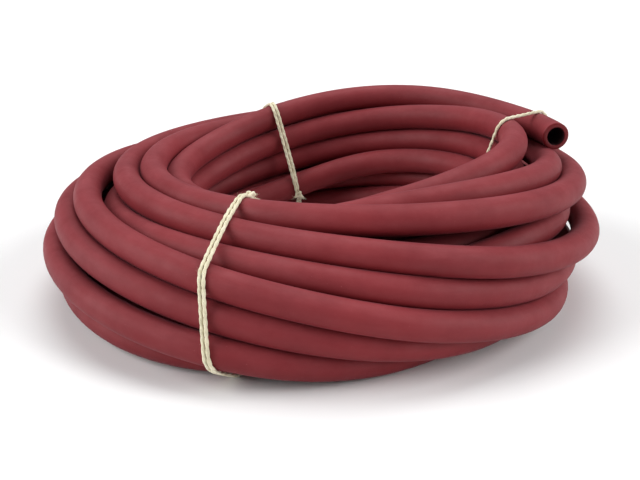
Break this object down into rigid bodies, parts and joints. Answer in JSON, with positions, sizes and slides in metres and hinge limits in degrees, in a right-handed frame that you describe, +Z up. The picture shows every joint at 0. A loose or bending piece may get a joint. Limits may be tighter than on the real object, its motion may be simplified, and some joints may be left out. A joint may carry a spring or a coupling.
{
  "type": "rubber gas tubing",
  "caption": "Coil of soft rubber gas tubing with both cut ends showing, held in a round bundle by three cotton string ties.",
  "frame": {"origin": "middle of the coil, on the surface that it lies on", "axes": "+Z up; the free end points along -Y; +X is to the right of someone whom the free end points at"},
  "size_m": [0.238, 0.2124, 0.0743],
  "materials": {
    "rubber": "matt red-brown rubber with a light dusty bloom",
    "string": "undyed twisted cotton"
  },
  "bodies": {
    "root": {"tubing": "rubber", "front_tie": "string", "back_tie": "string", "side_tie": "string"}
  },
  "joints": []
}
